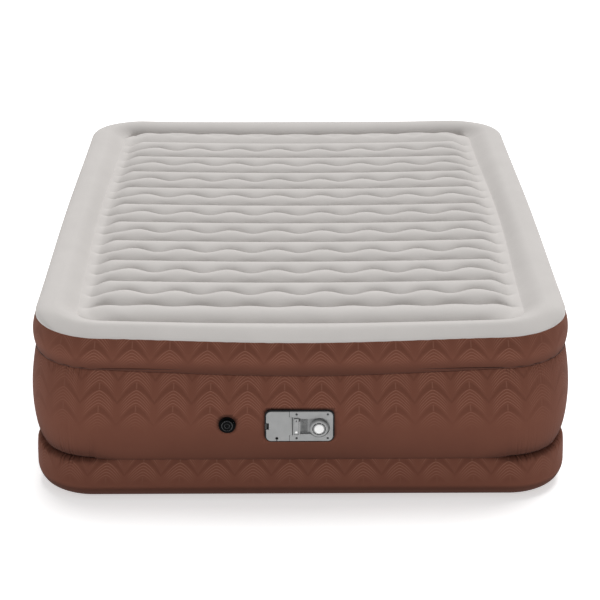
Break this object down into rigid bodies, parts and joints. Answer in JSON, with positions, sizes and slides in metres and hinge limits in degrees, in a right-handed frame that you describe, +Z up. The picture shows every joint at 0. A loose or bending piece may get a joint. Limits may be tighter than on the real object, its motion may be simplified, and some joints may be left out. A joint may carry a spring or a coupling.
{
  "type": "air mattress",
  "caption": "Raised flocked air bed with wavy cross channels inside a rolled rim, brown banded sides, a built-in electric pump and a flip-cap valve in its foot end.",
  "frame": {"origin": "on the floor under the middle of the bed", "axes": "+X to the right of the foot end, +Y from the foot end with the pump to the head end, +Z up"},
  "size_m": [1.52, 2.043, 0.51],
  "materials": {
    "flock_top": "short flock, pale warm grey",
    "flock_side": "short flock, brown, with tonal arches",
    "film": "calendered film",
    "panel_grey": "fine spark texture",
    "dark_grey": "satin",
    "soft_black": "satin, soft",
    "hard_black": "polished",
    "white": "polished",
    "steel": "bright plated",
    "brass": "bright",
    "winding": "lacquered wire",
    "iron": "stacked sheet"
  },
  "bodies": {
    "mattress": {"wave_panel": "flock_top", "rim_panel": "flock_top", "upper_wall": "flock_side", "middle_wall": "flock_side", "foot_wall": "flock_side", "lower_wall": "flock_side", "bottom_panel": "film", "upper_girth_sheet": "film", "lower_girth_sheet": "film", "straight_beams": "film", "wave_beams": "film", "base_beams": "film", "pump_collar": "soft_black", "pump_housing": "panel_grey", "pump_cover": "panel_grey", "cover_screws": "steel", "door_hinge_pin": "steel", "door_catch": "dark_grey", "cord_gland": "soft_black", "dial_seal": "soft_black", "rocker_pin": "steel", "switch_body": "hard_black", "switch_terminals": "brass", "intake_screen": "dark_grey", "motor_can": "steel", "stator": "winding", "bearings": "brass", "fan_housing": "hard_black", "check_spring": "steel", "valve_flange": "soft_black", "flap_seat": "hard_black", "valve_body": "hard_black", "flap_stem": "hard_black", "cap_hinge_pin": "steel"},
    "cord_door": {"cord_door": "panel_grey"},
    "selector": {"selector_dial": "panel_grey", "dial_cap": "white", "dial_inlays": "hard_black", "selector_drum": "hard_black"},
    "rocker": {"rocker": "panel_grey", "rocker_dot": "white"},
    "rotor": {"rotor_core": "iron", "motor_shaft": "steel", "impeller": "white"},
    "check_valve": {"check_valve": "soft_black", "spring_retainer": "steel"},
    "valve_cap": {"valve_cap": "soft_black", "cap_seal": "soft_black"},
    "valve_flap": {"valve_flap": "soft_black"}
  },
  "joints": [
    {"name": "cord_door_hinge", "type": "hinge", "parent": "mattress", "child": "cord_door", "pos_m": [-0.0276, -1.016, 0.2385], "axis": [0, 0, 1], "range_deg": [0, 110]},
    {"name": "dial_turn", "type": "hinge", "parent": "mattress", "child": "selector", "pos_m": [0.048, -1.018, 0.2345], "axis": [0, -1, 0], "range_deg": [-60, 60]},
    {"name": "rocker_tilt", "type": "hinge", "parent": "mattress", "child": "rocker", "pos_m": [-0.014, -1.014, 0.2385], "axis": [-1, 0, 0], "range_deg": [0, 12]},
    {"name": "motor_spin", "type": "hinge", "parent": "mattress", "child": "rotor", "pos_m": [0.025, -0.93, 0.2385], "axis": [0, 1, 0], "continuous": true},
    {"name": "check_valve_lift", "type": "slide", "parent": "mattress", "child": "check_valve", "axis": [0, 1, 0], "range_m": [0, 0.005], "stiffness_N_per_m": 80, "deforming": ["check_spring"]},
    {"name": "valve_cap_flip", "type": "hinge", "parent": "mattress", "child": "valve_cap", "pos_m": [-0.18291, -1.0173, 0.24637], "axis": [-0.309, 0, 0.9511], "range_deg": [0, 165]},
    {"name": "valve_flap_lift", "type": "slide", "parent": "mattress", "child": "valve_flap", "axis": [0, 1, 0], "range_m": [0, 0.004], "stiffness_N_per_m": 20}
  ]
}
